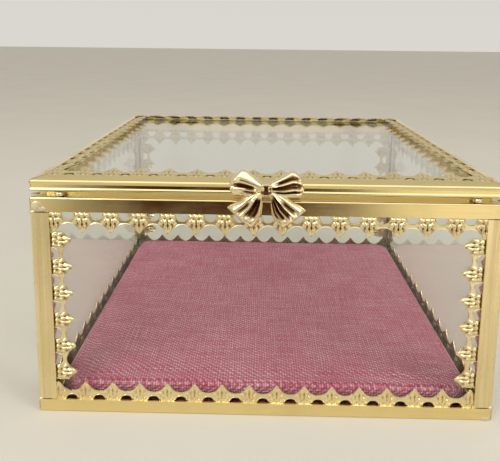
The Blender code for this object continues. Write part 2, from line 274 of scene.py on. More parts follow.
def linen_group() -> bpy.types.NodeTree:
    """Weave of uneven dyed threads with slanting rows, seen as colour and height; the gaps
    between threads and the slanting rows get painted shade.

    Returns:
        The group.
    """
    wander_scale, wander_reach = 160.0, 0.0009
    weft_stretch, warp_stretch = (75.0, 1100.0, 1100.0), (1100.0, 90.0, 90.0)
    slant_along, slant_across = 0.33, 0.52
    twill_shade, dye_shade, dye_scale = 0.7, 0.28, 42.0
    tone_height, twill_height = 0.6, 0.4
    group, g, given, out = new_group(
        "linen_weave",
        [("Thread", "NodeSocketColor", (0.5, 0.15, 0.2, 1)),
         ("Pale", "NodeSocketColor", (0.6, 0.3, 0.35, 1)),
         ("Deep", "NodeSocketColor", (0.2, 0.03, 0.05, 1)),
         ("Pitch", "NodeSocketFloat", 0.0006)],
        [("Color", "NodeSocketColor"), ("Height", "NodeSocketFloat")])
    place = g.add("TexCoord").outputs["Object"]
    wander = g.add("TexNoise", {"Vector": place, "Scale": wander_scale,
                                "Detail": 2.0}).outputs["Color"]
    bent = g.add("VectorMath", {0: wander, 1: (0.5, 0.5, 0.5)}, operation="SUBTRACT").outputs[0]
    bent = g.add("VectorMath", {0: bent, 3: wander_reach}, operation="SCALE").outputs[0]
    bent = g.add("VectorMath", {0: place, 1: bent}, operation="ADD").outputs[0]
    split = g.add("SeparateXYZ", {0: bent})
    along = g.math("DIVIDE", split.outputs["X"], given.outputs["Pitch"])
    across = g.math("DIVIDE", g.math("SUBTRACT", split.outputs["Y"], split.outputs["Z"]),
                    given.outputs["Pitch"])
    warp_wave = g.math("SINE", g.math("MULTIPLY", along, math.pi))
    weft_wave = g.math("SINE", g.math("MULTIPLY", across, math.pi))
    warp, weft = g.math("ABSOLUTE", warp_wave), g.math("ABSOLUTE", weft_wave)
    checker = g.math("MULTIPLY", warp_wave, weft_wave)
    over = g.span(checker, -0.25, 0.25)
    slub_x = g.add("Mapping", {0: place, 3: weft_stretch}).outputs[0]
    slub_y = g.add("Mapping", {0: place, 3: warp_stretch}).outputs[0]
    weft_tone = g.noise(slub_x, 1.0, 3.0, 0.6)
    warp_tone = g.math("MULTIPLY_ADD", g.noise(slub_y, 1.0, 3.0, 0.6), 0.5, 0.27)
    under = g.math("SUBTRACT", 1.0, over)
    top = g.math("ADD", g.math("MULTIPLY", warp, over), g.math("MULTIPLY", weft, under))
    tone = g.math("ADD", g.math("MULTIPLY", warp_tone, over),
                  g.math("MULTIPLY", weft_tone, under))
    color = g.mix(g.span(tone, 0.38, 0.68), given.outputs["Thread"], given.outputs["Pale"])
    slant = g.math("ADD", g.math("MULTIPLY", along, slant_along),
                   g.math("MULTIPLY", across, slant_across))
    twill = g.math("SINE", g.math("MULTIPLY", slant, 2 * math.pi))
    # painted shade along the slanting rows
    color = g.mix(g.span(twill, -0.2, 1.0, 0.0, twill_shade), color, given.outputs["Deep"])
    # painted shade in the gaps between the threads
    thread_gap_shade = g.span(top, 0.15, 0.95, 1.0, 0.0)
    color = g.mix(thread_gap_shade, color, given.outputs["Deep"])
    dye = g.noise(place, dye_scale, 3.0, 0.6)
    color = g.mix(g.span(dye, 0.4, 0.7, 0.0, dye_shade), color, given.outputs["Deep"])
    g.feed(out.inputs["Color"], color)
    height = g.math("ADD", top, g.math("MULTIPLY", tone, tone_height))
    height = g.math("SUBTRACT", height, g.math("MULTIPLY", twill, twill_height))
    g.feed(out.inputs["Height"], height)
    return group


class Groups:
    """Shared effects, each built once."""

    _made: dict = {}

    @classmethod
    def get(cls, build: Callable[[], bpy.types.NodeTree]) -> bpy.types.NodeTree:
        """Makes a group on first use, and gives the same one after that.

        Args:
            build: the function that makes the group.

        Returns:
            The group.
        """
        if build not in cls._made:
            cls._made[build] = build()
        return cls._made[build]


# ---------------------------------------------------------------- finishes

def blank_material(name: str) -> tuple[bpy.types.Material, Graph, bpy.types.Node]:
    """Makes an empty node material.

    Args:
        name: material name.

    Returns:
        The material, its graph and its output node.
    """
    material = bpy.data.materials.new(name)
    material.use_nodes = True
    material.node_tree.nodes.clear()
    graph = Graph(material.node_tree)
    return material, graph, graph.add("OutputMaterial")


@dataclass(frozen=True)
class BrassFinish:
    """Gold-coloured brass, with painted shade in its hollows where the mesh marks them."""

    name: str
    clean: tuple
    tarnish: tuple
    amount: float = 0.25
    roughness: float = 0.2
    spread: float = 0.08
    scale: float = 55.0
    bump: float = 0.05
    relief: float = 0.00005
    # colour of the painted shade in the hollows that the mesh marks
    hollow: tuple = ()
    grain: tuple = (40.0, 40.0, 900.0)
    brush: float = 0.12

    def build(self) -> bpy.types.Material:
        """Makes the material.

        Returns:
            The material.
        """
        material, g, out = blank_material(self.name)
        wear = g.add("Group", node_tree=Groups.get(metal_wear_group))
        for label, value in (("Clean", (*self.clean, 1)), ("Tarnish", (*self.tarnish, 1)),
                             ("Amount", self.amount), ("Roughness", self.roughness),
                             ("Spread", self.spread), ("Scale", self.scale),
                             ("Grain", self.grain), ("Brush", self.brush)):
            wear.inputs[label].default_value = value
        bump = g.add("Bump", {"Strength": self.bump, "Distance": self.relief,
                              "Height": wear.outputs["Height"]})
        color = wear.outputs["Color"]
        # painted shade: darken toward that colour by the depth the mesh stores for each point
        if self.hollow:
            depth = g.add("Attribute", attribute_name="hollow").outputs["Fac"]
            color = g.mix(g.span(depth, 0.05, 0.85), color, (*self.hollow, 1))
        surface = g.add("BsdfPrincipled", {
            "Base Color": color, "Roughness": wear.outputs["Roughness"],
            "Metallic": 1.0, "Normal": bump.outputs[0]})
        g.feed(out.inputs[0], surface.outputs[0])
        return material


@dataclass(frozen=True)
class GlassFinish:
    """Clear float glass that lets light through to what is behind it."""

    name: str
    tint: tuple = (0.945, 0.965, 0.945)
    roughness: float = 0.0
    index: float = 1.45

    def build(self) -> bpy.types.Material:
        """Makes the material.

        Returns:
            The material.
        """
        material, g, out = blank_material(self.name)
        surface = g.add("BsdfPrincipled", {
            "Base Color": (*self.tint, 1), "Roughness": self.roughness, "IOR": self.index,
            "Metallic": 0.0, "Transmission Weight": 1.0})
        clear = g.add("BsdfTransparent", {0: (*self.tint, 1)})
        path = g.add("LightPath")
        mixed = g.add("MixShader", {0: path.outputs["Is Shadow Ray"], 1: surface.outputs[0],
                                    2: clear.outputs[0]})
        g.feed(out.inputs[0], mixed.outputs[0])
        return material


@dataclass(frozen=True)
class LinenFinish:
    """Dyed linen, with painted shade in the gaps and slanting rows of its weave."""

    name: str
    thread: tuple
    pale: tuple
    # dark dye tone, also the colour of the painted shade in the weave's gaps and slanting rows
    deep: tuple
    pitch: float
    relief: float

    def build(self) -> bpy.types.Material:
        """Makes the material.

        Returns:
            The material.
        """
        material, g, out = blank_material(self.name)
        weave = g.add("Group", node_tree=Groups.get(linen_group))
        for label, value in (("Thread", (*self.thread, 1)), ("Pale", (*self.pale, 1)),
                             ("Deep", (*self.deep, 1)), ("Pitch", self.pitch)):
            weave.inputs[label].default_value = value
        bump = g.add("Bump", {"Strength": 0.8, "Distance": self.relief,
                              "Height": weave.outputs["Height"]})
        surface = g.add("BsdfPrincipled", {
            "Base Color": weave.outputs["Color"], "Roughness": 0.85, "Normal": bump.outputs[0],
            "Specular IOR Level": 0.2, "Sheen Weight": 0.15, "Sheen Roughness": 0.45,
            "Sheen Tint": (0.95, 0.75, 0.78, 1)})
        g.feed(out.inputs[0], surface.outputs[0])
        return material


@dataclass(frozen=True)
class DullFinish:
    """Plain matt stuff with a little grain, for the board and the foam."""

    name: str
    color: tuple
    dark: tuple
    grain: float = 400.0

    def build(self) -> bpy.types.Material:
        """Makes the material.

        Returns:
            The material.
        """
        material, g, out = blank_material(self.name)
        place = g.add("TexCoord").outputs["Object"]
        tone = g.noise(place, self.grain, 3.0, 0.6)
        color = g.mix(g.span(tone, 0.3, 0.7), (*self.dark, 1), (*self.color, 1))
        surface = g.add("BsdfPrincipled", {"Base Color": color, "Roughness": 0.9})
        g.feed(out.inputs[0], surface.outputs[0])
        return material


BRASS_SHEET = BrassFinish("brass_sheet_satin", clean=(0.88, 0.72, 0.345),
                          tarnish=(0.62, 0.43, 0.18), amount=0.22, roughness=0.095,
                          spread=0.07, scale=48.0, bump=0.10)
BRASS_POST = BrassFinish("brass_post_brushed", clean=(0.88, 0.74, 0.42),
                         tarnish=(0.60, 0.43, 0.18), amount=0.22, roughness=0.15,
                         spread=0.08, scale=48.0, bump=0.2, grain=(700.0, 700.0, 14.0),
                         brush=0.55)
# the lace darkens its pits and the low ground between its bosses with painted shade
BRASS_LACE = BrassFinish("brass_lace_stamped", clean=(0.91, 0.78, 0.455),
                         tarnish=(0.60, 0.40, 0.18), amount=0.35, roughness=0.17,
                         spread=0.10, scale=90.0, bump=0.55, relief=0.00014,
                         hollow=(0.26, 0.12, 0.04))
# the cast bow darkens its creases and the knot's recess with painted shade
BRASS_CAST = BrassFinish("brass_cast_polished", clean=(0.94, 0.82, 0.54),
                         tarnish=(0.60, 0.40, 0.18), amount=0.22, roughness=0.17,
                         spread=0.08, scale=110.0, bump=0.12, hollow=(0.20, 0.10, 0.045))
BRASS_FITTING = BrassFinish("brass_hinge", clean=(0.86, 0.70, 0.36),
                            tarnish=(0.50, 0.32, 0.14), amount=0.25, roughness=0.2,
                            spread=0.1, scale=110.0, bump=0.12)
SOLDER = BrassFinish("solder_brazed", clean=(0.86, 0.77, 0.54), tarnish=(0.36, 0.22, 0.12),
                     amount=0.6, roughness=0.34, spread=0.2, scale=260.0, bump=0.6,
                     relief=0.0002)
PANE = GlassFinish("pane_clear")
LINEN = LinenFinish("linen_dusty_pink", thread=(0.68, 0.120, 0.215), pale=(1.0, 0.70, 0.79),
                    deep=(0.330, 0.011, 0.055), pitch=0.00088, relief=0.00030)
CARD = DullFinish("card_grey", color=(0.42, 0.38, 0.33), dark=(0.34, 0.30, 0.26))
FOAM = DullFinish("foam_white", color=(0.80, 0.79, 0.75), dark=(0.66, 0.65, 0.61))


Finish = Union[BrassFinish, GlassFinish, LinenFinish, DullFinish]


@dataclass
class Wardrobe:
    """Materials by finish."""

    made: dict[Finish, bpy.types.Material] = field(default_factory=dict)

    def get(self, finish: Finish) -> bpy.types.Material:
        """Builds a finish on first use, and gives the same material after that.

        Args:
            finish: the finish.

        Returns:
            Its material.
        """
        if finish not in self.made:
            self.made[finish] = finish.build()
        return self.made[finish]

    def dress(self, obj: Mesh, finish: Finish, slot: Slot) -> None:
        """Gives an object one material.

        Args:
            obj: the object.
            finish: the finish that it shows.
            slot: not used.
        """
        obj.data.materials.clear()
        obj.data.materials.append(self.get(finish))


# ---------------------------------------------------------------- mesh helpers

def mesh_object(name: str, points: Any, faces: Faces, smooth: bool = True) -> Mesh:
    """Links a new mesh object.

    Args:
        name: object name.
        points: vertex positions.
        faces: vertex indices of each face.
        smooth: whether faces are shaded smooth.

    Returns:
        The object.
    """
    mesh = bpy.data.meshes.new(name)
    mesh.from_pydata([tuple(p) for p in points], [], faces)
    mesh.validate()
    bm = bmesh.new()
    bm.from_mesh(mesh)
    bmesh.ops.recalc_face_normals(bm, faces=bm.faces)
    bm.to_mesh(mesh)
    bm.free()
    if smooth:
        mesh.shade_smooth()
        mesh.set_sharp_from_angle(angle=SHARP_ANGLE)
    obj = bpy.data.objects.new(name, mesh)
    bpy.context.scene.collection.objects.link(obj)
    return obj


def square(name: str, half: float) -> Mesh:
    """A flat square about the origin, from -half to half."""
    corners = [(-half, -half, 0), (half, -half, 0), (half, half, 0), (-half, half, 0)]
    return mesh_object(name, corners, [(0, 1, 2, 3)], smooth=False)


def grid_faces(columns: int, rows: int, start: int = 0, flip: bool = False) -> Faces:
    """Quads of a grid whose points run along the rows first.

    Args:
        columns: points along the first direction.
        rows: points along the second direction.
        start: index of the grid's first point.
        flip: whether the quads face the other way.

    Returns:
        The faces.
    """
    faces = []
    for i in range(columns - 1):
        for j in range(rows - 1):
            a = start + i * rows + j
            quad = (a, a + rows, a + rows + 1, a + 1)
            faces.append(quad[::-1] if flip else quad)
    return faces


def shell_faces(columns: int, front_rows: int, back_rows: int) -> Faces:
    """Faces of a closed leaf: front grid, back grid and the strip round their edges.

    Args:
        columns: points along both grids.
        front_rows: points across the front grid.
        back_rows: points across the back grid.

    Returns:
        The faces.
    """
    back = columns * front_rows
    faces = grid_faces(columns, front_rows) + grid_faces(columns, back_rows, back, True)
    for i in range(columns - 1):
        f0, f1 = i * front_rows, (i + 1) * front_rows
        b0, b1 = back + i * back_rows, back + (i + 1) * back_rows
        faces.append((f0, b0, b1, f1))
        faces.append((f1 + front_rows - 1, b1 + back_rows - 1, b0 + back_rows - 1,
                      f0 + front_rows - 1))
    for i, order in ((0, 1), (columns - 1, -1)):
        front = [i * front_rows + j for j in range(front_rows)]
        rear = [back + i * back_rows + j for j in range(back_rows)]
        faces.append(tuple((front + rear[::-1])[::order]))
    return faces


def smooth_step(value: Any, low: float, high: float) -> Any:
    """Cubic ramp from 0 to 1 between low and high."""
    t = np.clip((value - low) / (high - low), 0, 1)
    return t * t * (3 - 2 * t)


def mark_hollows(obj: Mesh, values: Array) -> None:
    """Stores how much painted shade each vertex gets in the hollows, for the finish to darken."""
    layer = obj.data.attributes.new("hollow", "FLOAT", "POINT")
    layer.data.foreach_set("value", np.asarray(values, np.float32))


def join(name: str, objects: list[Mesh]) -> Mesh:
    """Joins mesh objects into one, and removes them.

    Args:
        name: name of the new object.
        objects: the objects.

    Returns:
        The new object.
    """
    bm = bmesh.new()
    for obj in objects:
        obj.data.transform(obj.matrix_world)
        bm.from_mesh(obj.data)
    mesh = bpy.data.meshes.new(name)
    bm.to_mesh(mesh)
    bm.free()
    mesh.shade_smooth()
    for obj in objects:
        bpy.data.objects.remove(obj)
    joined = bpy.data.objects.new(name, mesh)
    bpy.context.scene.collection.objects.link(joined)
    return joined


# ---------------------------------------------------------------- lace

@dataclass(frozen=True)
class LaceMotif:
    """Relief and outline of one stamped motif; heights run from the rail to the tip, in mm."""

    pitch: float = 9.106
    tuck: float = 1.2
    foot_half: float = 2.5
    notch: float = 2.3
    roundness: float = 2.2
    thickness: float = 0.4
    steps: int = 28
    front_rows: int = 19
    back_rows: int = 7
    tip: float = 7.2
    valley: float = 3.5
    sweep: float = 2.4
    tip_ease: float = 0.12
    ground: float = 0.12
    # ground_shade and pit_reach set the painted shade on the ground between the bosses and in the
    # pits
    ground_shade: float = 0.42
    pit_reach: float = 2.6
    pit_area: float = 0.10
    pit_depth: float = 0.22
    rim_width: float = 0.26
    rim_rise: float = 0.24
    beads: tuple = ((-1.60, 0.85, 0.74, 0.82, 0.66), (0.0, 0.85, 0.76, 0.86, 0.74),
                    (1.60, 0.85, 0.74, 0.82, 0.66))
    petals: tuple = ((-1.90, 2.75, 0.66, 1.25, 0.66, 24.0), (-0.68, 2.85, 0.66, 1.35, 0.82, 7.0),
                     (0.68, 2.85, 0.66, 1.35, 0.82, -7.0), (1.90, 2.75, 0.66, 1.25, 0.66, -24.0),
                     (-0.52, 4.85, 0.58, 1.40, 0.72, -12.0), (0.52, 4.85, 0.58, 1.40, 0.72, 12.0))
    pits: tuple = ((-0.80, 1.70), (0.80, 1.70), (-1.32, 3.55), (1.32, 3.55), (0.0, 3.95))

    def outer(self, s: Array) -> Array:
        """Height of the scalloped edge.

        Args:
            s: places measured from a tip.

        Returns:
            The height at each place.
        """
        away = np.sqrt(s ** 2 + self.tip_ease) - self.tip_ease
        share = np.clip(1 - away / (self.pitch / 2), 0, 1) ** self.sweep
        return self.valley + (self.tip - self.valley) * share

    def inner(self, s: Array) -> Array:
        """Height of the lower edge: tucked under the rail, or round a notch.

        Args:
            s: places measured from a tip.

        Returns:
            The height at each place.
        """
        half = self.pitch / 2 - self.foot_half
        away = np.clip((self.pitch / 2 - np.abs(s)) / half, 0, 1)
        arch = self.notch * (1 - away ** self.roundness) ** (1 / self.roundness)
        return np.where(away < 0.999, arch, -self.tuck)

    def dome(self, s: Array, h: Array, place: tuple, lean: float = 0.0) -> Array:
        """Rise of one rounded boss.

        Args:
            s: places along the strip, measured from a tip.
            h: heights.
            place: centre along, centre up, half width, half length and rise.
            lean: turn of the boss in degrees.

        Returns:
            The rise at each place.
        """
        cs, ch, across, length, rise = place
        a = math.radians(lean)
        x = (s - cs) * math.cos(a) + (h - ch) * math.sin(a)
        y = -(s - cs) * math.sin(a) + (h - ch) * math.cos(a)
        q = (x / across) ** 2 + (y / length) ** 2
        return rise * np.sqrt(np.clip(1 - q, 0, 1))

    def pit_share(self, s: Array, h: Array) -> Array:
        """How much of a pit each place has, summed over the pits."""
        return sum(np.exp(-((s - ps) ** 2 + (h - ph) ** 2) / self.pit_area)
                   for ps, ph in self.pits)

    def crevice(self, s: Array, h: Array) -> Array:
        """How much painted shade a place gets, in the pits and on the low ground between the
        bosses.

        Args:
            s: places along the strip, measured from a tip.
            h: heights.

        Returns:
            The depth at each place, from 0 to 1.
        """
        pit = self.pit_share(s, h) * (np.abs(s) < self.pit_reach)
        inside = (1 - smooth_step(np.abs(s), 2.0, 2.7)) * smooth_step(h, 0.1, 0.5)
        inside *= 1 - smooth_step(h, 4.6, 5.6)
        low = 1 - smooth_step(self.bosses(s, h), 0.10, 0.42)
        return np.clip(pit + self.ground_shade * low * inside, 0, 1)

    def bosses(self, s: Array, h: Array) -> Array:
        """Rise of the beads and petals alone.

        Args:
            s: places along the strip, measured from a tip.
            h: heights.

        Returns:
            The rise at each place, in mm.
        """
        rise = self.ground * np.ones_like(s)
        for bead in self.beads:
            rise = np.maximum(rise, self.dome(s, h, bead))
        for *place, lean in self.petals:
            rise = np.maximum(rise, self.dome(s, h, place, lean))
        return rise

    def relief(self, s: Array, h: Array) -> Array:
        """Rise of the whole stamped face.

        Args:
            s: places along the strip, measured from a tip.
            h: heights.

        Returns:
            The rise at each place, in mm.
        """
        rise = self.bosses(s, h) - self.pit_depth * self.pit_share(s, h)
        rim = np.exp(-((self.outer(s) - h) / self.rim_width) ** 2)
        lower = self.inner(s)
        ring = np.where(lower > 0, np.exp(-((h - lower) / self.rim_width) ** 2), 0)
        rise = np.maximum(rise, self.rim_rise * np.maximum(rim, ring))
        return rise * smooth_step(h, -0.05, 0.35)


@dataclass
class LaceStrip:
    """One strip of stamped lace that stands in for a flat CAD strip."""

    node: str
    body: Body
    first_tip: float
    start: float
    end: float
    place: Place
    # scale of the painted shade in this strip's pits and between its bosses
    shade: float = 1.0
    lift: float = 0.0
    gain: float = 1.0
    lean: float = 0.0
    back_share: float = 0.75
    motif: LaceMotif = field(default_factory=LaceMotif)

    def build(self, wardrobe: Wardrobe) -> Mesh:
        """Makes the strip.

        Args:
            wardrobe: the materials.

        Returns:
            The object.
        """
        m = self.motif
        step = m.pitch / m.steps
        nudge = 1e-6
        first = math.ceil((self.start - self.first_tip) / step + nudge)
        last = math.floor((self.end - self.first_tip) / step - nudge)
        inner_places = [self.first_tip + k * step for k in range(first, last + 1)]
        along = np.array([self.start] + inner_places + [self.end])
        s = (along - self.first_tip + m.pitch / 2) % m.pitch - m.pitch / 2
        layers, hollows = [], []
        for rows, back in ((m.front_rows, 0.0), (m.back_rows, m.thickness)):
            t = np.linspace(0, 1, rows)[None, :]
            low, high = m.inner(s)[:, None], m.outer(s)[:, None]
            h = low + (high - low) * t
            ss = np.repeat(s[:, None], rows, 1)
            crown = self.lift * smooth_step(h, -0.4, 1.2) + self.lean * np.clip(h, 0, None)
            share = 1.0 if back == 0.0 else self.back_share
            rise = m.relief(ss, h) * share * self.gain + crown - back
            aa = np.repeat(along[:, None], rows, 1)
            # painted shade in the pits and between the bosses, kept for each point
            hollows.append(m.crevice(ss, h).ravel() * self.shade)
            layers.append(np.stack([aa.ravel(), h.ravel(), rise.ravel()], 1))
        points = [self.place(*p) for p in np.concatenate(layers)]
        faces = shell_faces(len(along), m.front_rows, m.back_rows)
        obj = mesh_object(self.node + "_stamped", points, faces)
        mark_hollows(obj, np.concatenate(hollows))
        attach(obj, self.body.value)
        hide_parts(self.node)
        wardrobe.dress(obj, BRASS_LACE, Slot.LACE)
        return obj


@dataclass
class LaceTrim:
    """All lace of the box."""

    wardrobe: Wardrobe
    motif: LaceMotif = field(default_factory=LaceMotif)
    top_shift: float = 0.4
    low_shift: float = -0.4
    lid_shift: float = -0.1
    # painted shade in the lace pits, weaker on the bottom strips and on the lid
    low_shade: float = 0.35
    lid_shade: float = 0.45
    post_tip: float = 59.5
    lid_lift: float = 0.45
    lid_gain: float = 0.8
    lid_lean: float = 0.20
    low_sink: float = 0.7
    top_drop: float = 0.25
    post_reach: float = 0.1

    def build(self) -> list[Mesh]:
        """Makes every strip.

        Returns:
            The strips.
        """
        strips = [LaceStrip(*row, motif=self.motif) for side in Side
                  for row in self._wall_rows(side) + self._lid_rows(side)]
        return [strip.build(self.wardrobe) for strip in strips]

    def _wall_rows(self, side: Side) -> list[tuple]:
        """Settings of the four strips round one wall.

        Args:
            side: the wall.

        Returns:
            The fields of each strip, in their order.
        """
        low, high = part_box("lace_front_bottom")
        face, end = low.y / MM, high.x / MM
        low_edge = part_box("bottom_rail_front")[1].z / MM
        high_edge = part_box("top_rail_front")[0].z / MM
        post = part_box("corner_post_2")[0].x / MM
        up_low, up_high = (p.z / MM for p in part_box("lace_front_post_b"))
        turn, half = side.turn, self.motif.pitch / 2

        def at(x: float, rise: float, z: float) -> Vector:
            """Point that stands off the front wall, turned to this side."""
            return (turn @ Vector((x, face - rise, z))) * MM

        return [
            (f"lace_{side.label}_bottom", Body.BASE, half + self.low_shift, -end, end,
             lambda a, h, r: at(a, r, low_edge - self.low_sink + h), self.low_shade),
            (f"lace_{side.label}_top", Body.BASE, half + self.top_shift, -end, end,
             lambda a, h, r: at(a, r, high_edge - self.top_drop - h)),
            (f"lace_{side.label}_post_a", Body.BASE, self.post_tip, up_low, up_high,
             lambda a, h, r: at(-post + self.post_reach + h, r, a)),
            (f"lace_{side.label}_post_b", Body.BASE, self.post_tip, up_low, up_high,
             lambda a, h, r: at(post - self.post_reach - h, r, a)),
        ]

    def _lid_rows(self, side: Side) -> list[tuple]:
        """Settings of the strip along one edge of the lid.

        Args:
            side: the edge.

        Returns:
            The fields of the strip, in their order.
        """
        node = f"lace_lid_{side.label}"
        low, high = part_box("lace_lid_front")
        edge, level = low.y / MM + self.motif.tuck, high.z / MM
        along_x = side in (Side.FRONT, Side.BACK)
        end = (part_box(node)[1].x if along_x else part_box(node)[1].y) / MM
        shift = self.lid_shift if along_x else 0.0
        turn = side.turn

        def place(a: float, h: float, r: float) -> Vector:
            """Point along the edge, in from it and up from the rail."""
            return (turn @ Vector((a, edge + h, level + r))) * MM

        return [(node, Body.LID, self.motif.pitch / 2 + shift, -end, end, place, self.lid_shade,
                 self.lid_lift, self.lid_gain, self.lid_lean)]


# ---------------------------------------------------------------- bow

def smooth_line(points: tuple, count: int, passes: int = 2) -> Array:
    """Spaces points evenly along a line and eases its corners.

    Args:
        points: the line's corners.
        count: how many points to make.
        passes: how many times the corners are eased.

    Returns:
        The points.
    """
    pts = np.array(points, float)
    lengths = np.r_[0, np.cumsum(np.linalg.norm(np.diff(pts, axis=0), axis=1))]
    where = np.linspace(0, lengths[-1], count)
    line = np.stack([np.interp(where, lengths, pts[:, k]) for k in (0, 1)], 1)
    for _ in range(passes):
        line[1:-1] = (line[:-2] + 2 * line[1:-1] + line[2:]) / 4
    return line


@dataclass(frozen=True)
class Fold:
    """Crease or ridge across a ribbon: place across, half width, rise, and its reach along."""

    across: float
    width: float
    rise: float
    start: float = 0.0
    end: float = 1.0

    def height(self, u: Array, v: Array) -> Array:
        """Rise of the fold.

        Args:
            u: share of the way along the ribbon.
            v: share of the way across it.

        Returns:
            The rise at each place, in mm.
        """
        reach = smooth_step(u, self.start - 0.12, self.start + 0.08)
        reach *= 1 - smooth_step(u, self.end - 0.08, self.end + 0.12)
        return self.rise * np.exp(-((v - self.across) / self.width) ** 2) * reach


@dataclass(frozen=True)
class Ribbon:
    """A cast ribbon between two edges that start at the knot, in mm about the knot's centre."""

    first_edge: tuple
    second_edge: tuple
    folds: tuple
    body: float = 1.15
    dome: float = 0.9
    rim: float = 0.7
    sag: float = 0.0
    rim_place: float = 0.90
    rim_width: float = 0.085
    end_place: float = 0.955
    end_drop: float = 0.85
    least: float = 0.15
    # crease depth, in mm, that gets the full painted shade
    full_hollow: float = 1.1
    columns: int = 40
    rows: int = 44

    def shares(self) -> list[Array]:
        """Spreads the ribbon's places, closer together at its two edges.

        Returns:
            The shares of the way along and across, each columns by rows.
        """
        u = np.linspace(0, 1, self.columns)[:, None]
        v = (0.5 - 0.5 * np.cos(np.pi * np.linspace(0, 1, self.rows)))[None, :]
        return np.broadcast_arrays(u, v)

    def grids(self) -> tuple[Array, Array, Array]:
        """Plan positions and rise over the ribbon.

        Returns:
            Along, across and rise arrays, each columns by rows.
        """
        one = smooth_line(self.first_edge, self.columns)
        two = smooth_line(self.second_edge, self.columns)
        u, v = self.shares()
        x = one[:, :1] + (two[:, :1] - one[:, :1]) * v
        z = one[:, 1:] + (two[:, 1:] - one[:, 1:]) * v
        out = self.sag * smooth_step(u, 0.6, 1.0) * np.sin(np.pi * v)
        away = np.stack([one[-1] - one[-4], two[-1] - two[-4]]).mean(0)
        away /= np.linalg.norm(away)
        x, z = x + out * away[0], z + out * away[1]
        edge = np.sqrt(np.clip(np.sin(np.pi * v), 0, 1))
        crown = np.sin(np.pi * np.clip(u * 0.9 + 0.1, 0, 1)) ** 0.7
        rise = self.body * edge + self.dome * crown * edge
        for fold in self.folds:
            rise = rise + fold.height(u, v) * edge
        rise = rise + self.rim * np.exp(-((u - self.rim_place) / self.rim_width) ** 2) * edge
        rise = rise * (1 - self.end_drop * smooth_step(u, self.end_place, 1.0))
        return x, z, np.maximum(rise, self.least)

    def rear_columns(self) -> list[int]:
        """Which places across the ribbon its flat back keeps: the edges and the middle."""
        return [0, self.rows // 2, self.rows - 1]

    def hollows(self) -> Array:
        """Painted shade in the creases.

        Returns:
            The painted shade of each vertex, from 0 to 1; the flat back has none.
        """
        u, v = self.shares()
        sunk = sum(-fold.height(u, v) for fold in self.folds if fold.rise < 0)
        front = np.clip(sunk / self.full_hollow, 0, 1).ravel()
        return np.concatenate([front, np.zeros(self.columns * len(self.rear_columns()))])

    def build(self, name: str, centre: tuple, back: float) -> Mesh:
        """Makes the ribbon with a flat back.

        Args:
            name: object name.
            centre: the knot's centre, along X and Z, in mm.
            back: Y of the flat back, in mm.

        Returns:
            The object.
        """
        x, z, rise = self.grids()
        front = np.stack([x + centre[0], back - rise, z + centre[1]], -1).reshape(-1, 3)
        kept = self.rear_columns()
        rear = np.stack([x + centre[0], np.full_like(x, back), z + centre[1]], -1)
        rear = rear[:, kept].reshape(-1, 3)
        faces = shell_faces(self.columns, self.rows, len(kept))
        return mesh_object(name, np.concatenate([front, rear]) * MM, faces)


@dataclass(frozen=True)
class Knot:
    """Square-shouldered ring with a recess, darkened with painted shade, that holds the ribbons.
    """

    half: tuple = (2.0, 2.2)
    well: float = 0.52
    flare: float = 0.16
    lip: float = 0.14
    shoulder: float = 0.84
    rise: float = 3.1
    depth: float = 1.9
    squareness: float = 0.62
    side_wall: float = 0.35
    rings: int = 22
    around: int = 56

    def hollows(self) -> Array:
        """Painted shade in the recess.

        Returns:
            The painted shade of each vertex, from 0 to 1.
        """
        rings = [self.depth_share(i / self.rings, 2 * math.pi * k / self.around)
                 for i in range(1, self.rings + 1) for k in range(self.around)]
        return np.array([1.0] + rings + [0.0])

    def depth_share(self, t: float, angle: float) -> float:
        """How far down the recess a place lies; the recess is wider than it is tall."""
        start = self.well + self.flare * math.cos(angle) ** 2
        return 1.0 - float(smooth_step(t, start, start + self.lip))

    def build(self, name: str, centre: tuple, back: float) -> Mesh:
        """Makes the knot.

        Args:
            name: object name.
            centre: the knot's centre, along X and Z, in mm.
            back: Y of the flat back, in mm.

        Returns:
            The object.
        """
        points, faces = [(centre[0], back - self.rise + self.depth, centre[1])], []
        for i in range(1, self.rings + 1):
            t = i / self.rings
            for k in range(self.around):
                a = 2 * math.pi * k / self.around
                c, s = math.cos(a), math.sin(a)
                c, s = (math.copysign(abs(w) ** self.squareness, w) for w in (c, s))
                wide = [t * h for h in self.half]
                wall = self.depth_share(t, a)
                drop = max(0.0, t - self.shoulder) / (1 - self.shoulder)
                curve = self.side_wall + (1 - self.side_wall) * math.sqrt(1 - drop ** 2)
                up = self.rise * curve - self.depth * wall
                points.append((centre[0] + wide[0] * c, back - up, centre[1] + wide[1] * s))
        points.append((centre[0], back, centre[1]))
        last = len(points) - 1
        n = self.around
        for k in range(n):
            m = (k + 1) % n
            faces.append((0, 1 + k, 1 + m))
            for i in range(self.rings - 1):
                a = 1 + i * n
                faces.append((a + k, a + n + k, a + n + m, a + m))
            edge = 1 + (self.rings - 1) * n
            faces.append((edge + k, last, edge + m))
        return mesh_object(name, np.array(points) * MM, faces)


